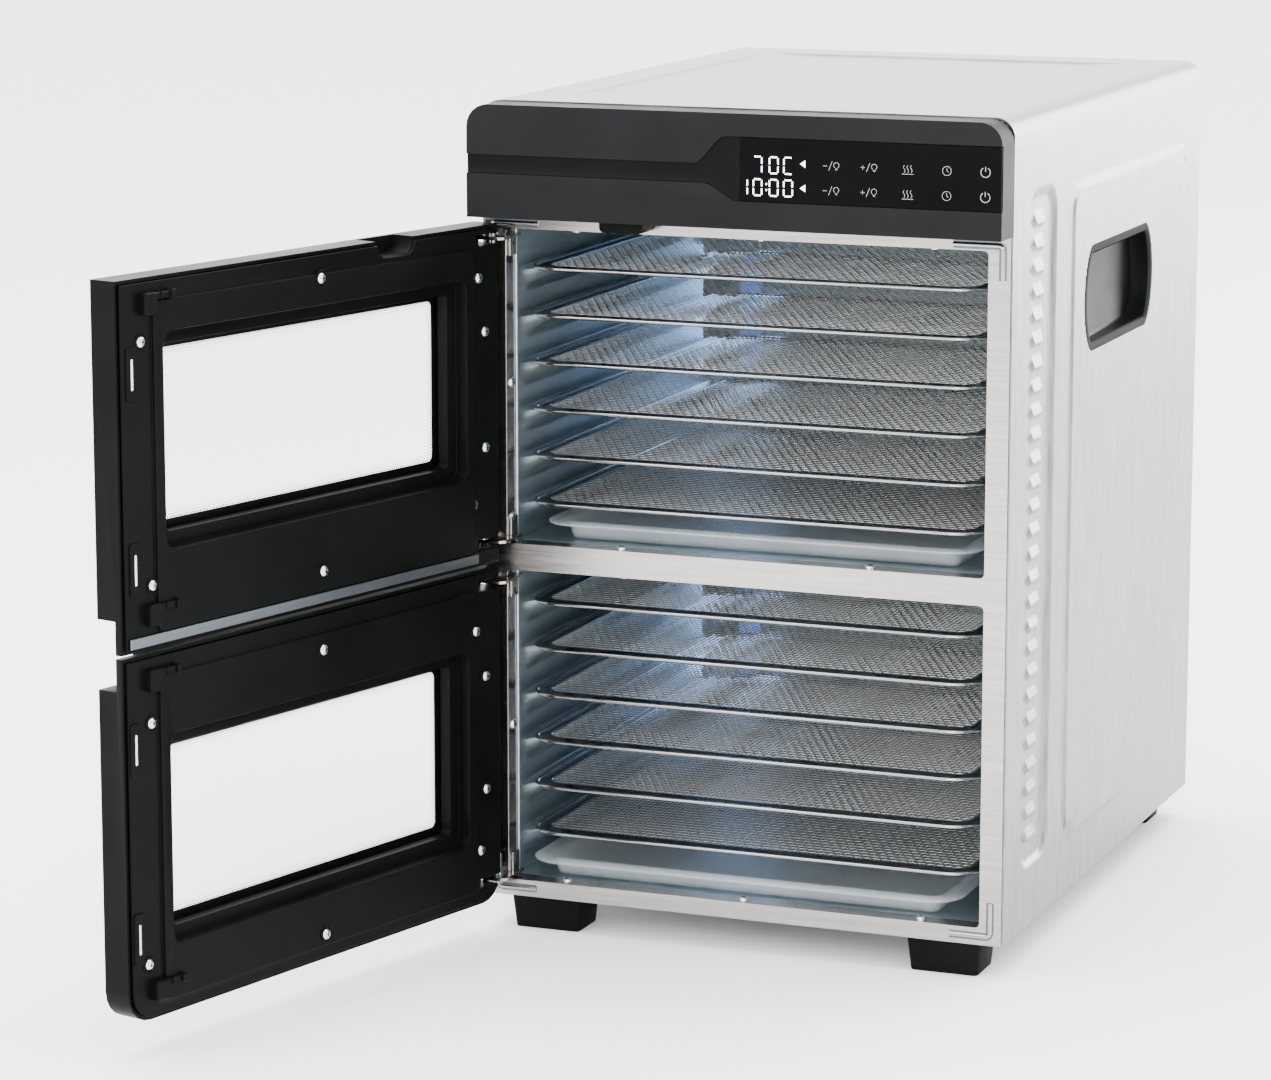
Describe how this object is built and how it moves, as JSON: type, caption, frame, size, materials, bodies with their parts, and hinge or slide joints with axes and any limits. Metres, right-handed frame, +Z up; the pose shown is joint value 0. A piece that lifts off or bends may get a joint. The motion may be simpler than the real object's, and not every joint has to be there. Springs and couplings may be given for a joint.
{
  "type": "food dehydrator",
  "caption": "Countertop food dehydrator with stacked drying chambers behind windowed side-hinged doors, sliding mesh trays, drip trays and a touch control fascia.",
  "frame": {"origin": "middle of the flat underside of the base pan; the feet stand below it", "axes": "+X to the right seen from the front, +Y to the back, +Z up"},
  "size_m": [0.4397, 0.7933, 0.5317],
  "materials": {
    "brushed_stainless": "vertically brushed",
    "frame_stainless": "bright, lightly brushed",
    "chamber_steel": "smooth pressed sheet",
    "galvanised_steel": "dull zinc coat",
    "tray_steel": "bright woven wire and polished rim",
    "satin_black": "satin moulded",
    "charcoal_plastic": "satin moulded",
    "gloss_black": "polished",
    "handle_grey": "fine texture",
    "foot_black": "matt",
    "window_glass": "clear, with a printed black border",
    "clear_plastic": "frosted clear moulding",
    "lamp_lens": "milky lens",
    "board_green": "solder mask",
    "motor_metal": "satin",
    "heater_sheath": "oxidised sheath"
  },
  "bodies": {
    "root": {"base_pan": "galvanised_steel", "control_board": "board_green", "cord_gland": "satin_black", "display_module": "gloss_black", "door_switch_housing": "satin_black", "fascia": "charcoal_plastic", "front_frame": "frame_stainless", "front_left_foot": "foot_black", "front_right_foot": "foot_black", "hinge_lower_bottom": "frame_stainless", "hinge_lower_top": "frame_stainless", "hinge_upper_bottom": "frame_stainless", "hinge_upper_top": "frame_stainless", "left_handle": "handle_grey", "lower_baffle": "chamber_steel", "lower_ceiling": "chamber_steel", "lower_fan_motor": "motor_metal", "lower_floor": "chamber_steel", "lower_heater": "heater_sheath", "lower_lamp": "lamp_lens", "lower_left_wall": "chamber_steel", "lower_right_wall": "chamber_steel", "outer_wrap": "brushed_stainless", "power_board": "board_green", "rear_left_foot": "foot_black", "rear_panel": "galvanised_steel", "rear_right_foot": "foot_black", "right_handle": "handle_grey", "touch_panel": "gloss_black", "upper_baffle": "chamber_steel", "upper_ceiling": "chamber_steel", "upper_fan_motor": "motor_metal", "upper_floor": "chamber_steel", "upper_heater": "heater_sheath", "upper_lamp": "lamp_lens", "upper_left_wall": "chamber_steel", "upper_right_wall": "chamber_steel"},
    "upper_door": {"upper_door_shell": "satin_black", "upper_door_liner": "satin_black", "upper_door_glass": "window_glass", "upper_door_strip": "frame_stainless"},
    "lower_door": {"lower_door_shell": "satin_black", "lower_door_liner": "satin_black", "lower_door_glass": "window_glass"},
    "upper_tray_1_body": {"upper_tray_1": "tray_steel"},
    "upper_tray_2_body": {"upper_tray_2": "tray_steel"},
    "upper_tray_3_body": {"upper_tray_3": "tray_steel"},
    "upper_tray_4_body": {"upper_tray_4": "tray_steel"},
    "upper_tray_5_body": {"upper_tray_5": "tray_steel"},
    "upper_tray_6_body": {"upper_tray_6": "tray_steel"},
    "upper_drip_tray_body": {"upper_drip_tray": "clear_plastic"},
    "upper_fan_body": {"upper_fan": "motor_metal"},
    "lower_tray_1_body": {"lower_tray_1": "tray_steel"},
    "lower_tray_2_body": {"lower_tray_2": "tray_steel"},
    "lower_tray_3_body": {"lower_tray_3": "tray_steel"},
    "lower_tray_4_body": {"lower_tray_4": "tray_steel"},
    "lower_tray_5_body": {"lower_tray_5": "tray_steel"},
    "lower_tray_6_body": {"lower_tray_6": "tray_steel"},
    "lower_drip_tray_body": {"lower_drip_tray": "clear_plastic"},
    "lower_fan_body": {"lower_fan": "motor_metal"}
  },
  "joints": [
    {"name": "upper_door_hinge", "type": "hinge", "parent": "root", "child": "upper_door", "pos_m": [-0.1675, -0.235, 0.32675], "axis": [0, 0, -1], "range_deg": [-105, 8]},
    {"name": "lower_door_hinge", "type": "hinge", "parent": "root", "child": "lower_door", "pos_m": [-0.1675, -0.235, 0.10925], "axis": [0, 0, -1], "range_deg": [-105, 8]},
    {"name": "upper_tray_1_slide", "type": "slide", "parent": "root", "child": "upper_tray_1_body", "axis": [0, -1, 0], "range_m": [0, 0.33]},
    {"name": "upper_tray_2_slide", "type": "slide", "parent": "root", "child": "upper_tray_2_body", "axis": [0, -1, 0], "range_m": [0, 0.33]},
    {"name": "upper_tray_3_slide", "type": "slide", "parent": "root", "child": "upper_tray_3_body", "axis": [0, -1, 0], "range_m": [0, 0.33]},
    {"name": "upper_tray_4_slide", "type": "slide", "parent": "root", "child": "upper_tray_4_body", "axis": [0, -1, 0], "range_m": [0, 0.33]},
    {"name": "upper_tray_5_slide", "type": "slide", "parent": "root", "child": "upper_tray_5_body", "axis": [0, -1, 0], "range_m": [0, 0.33]},
    {"name": "upper_tray_6_slide", "type": "slide", "parent": "root", "child": "upper_tray_6_body", "axis": [0, -1, 0], "range_m": [0, 0.33]},
    {"name": "upper_drip_tray_slide", "type": "slide", "parent": "root", "child": "upper_drip_tray_body", "axis": [0, -1, 0], "range_m": [0, 0.33]},
    {"name": "upper_fan_spin", "type": "hinge", "parent": "root", "child": "upper_fan_body", "pos_m": [0, 0.161, 0.33], "axis": [0, 1, 0], "continuous": true},
    {"name": "lower_tray_1_slide", "type": "slide", "parent": "root", "child": "lower_tray_1_body", "axis": [0, -1, 0], "range_m": [0, 0.33]},
    {"name": "lower_tray_2_slide", "type": "slide", "parent": "root", "child": "lower_tray_2_body", "axis": [0, -1, 0], "range_m": [0, 0.33]},
    {"name": "lower_tray_3_slide", "type": "slide", "parent": "root", "child": "lower_tray_3_body", "axis": [0, -1, 0], "range_m": [0, 0.33]},
    {"name": "lower_tray_4_slide", "type": "slide", "parent": "root", "child": "lower_tray_4_body", "axis": [0, -1, 0], "range_m": [0, 0.33]},
    {"name": "lower_tray_5_slide", "type": "slide", "parent": "root", "child": "lower_tray_5_body", "axis": [0, -1, 0], "range_m": [0, 0.33]},
    {"name": "lower_tray_6_slide", "type": "slide", "parent": "root", "child": "lower_tray_6_body", "axis": [0, -1, 0], "range_m": [0, 0.33]},
    {"name": "lower_drip_tray_slide", "type": "slide", "parent": "root", "child": "lower_drip_tray_body", "axis": [0, -1, 0], "range_m": [-0.012, 0.33]},
    {"name": "lower_fan_spin", "type": "hinge", "parent": "root", "child": "lower_fan_body", "pos_m": [0, 0.161, 0.112], "axis": [0, 1, 0], "continuous": true}
  ]
}
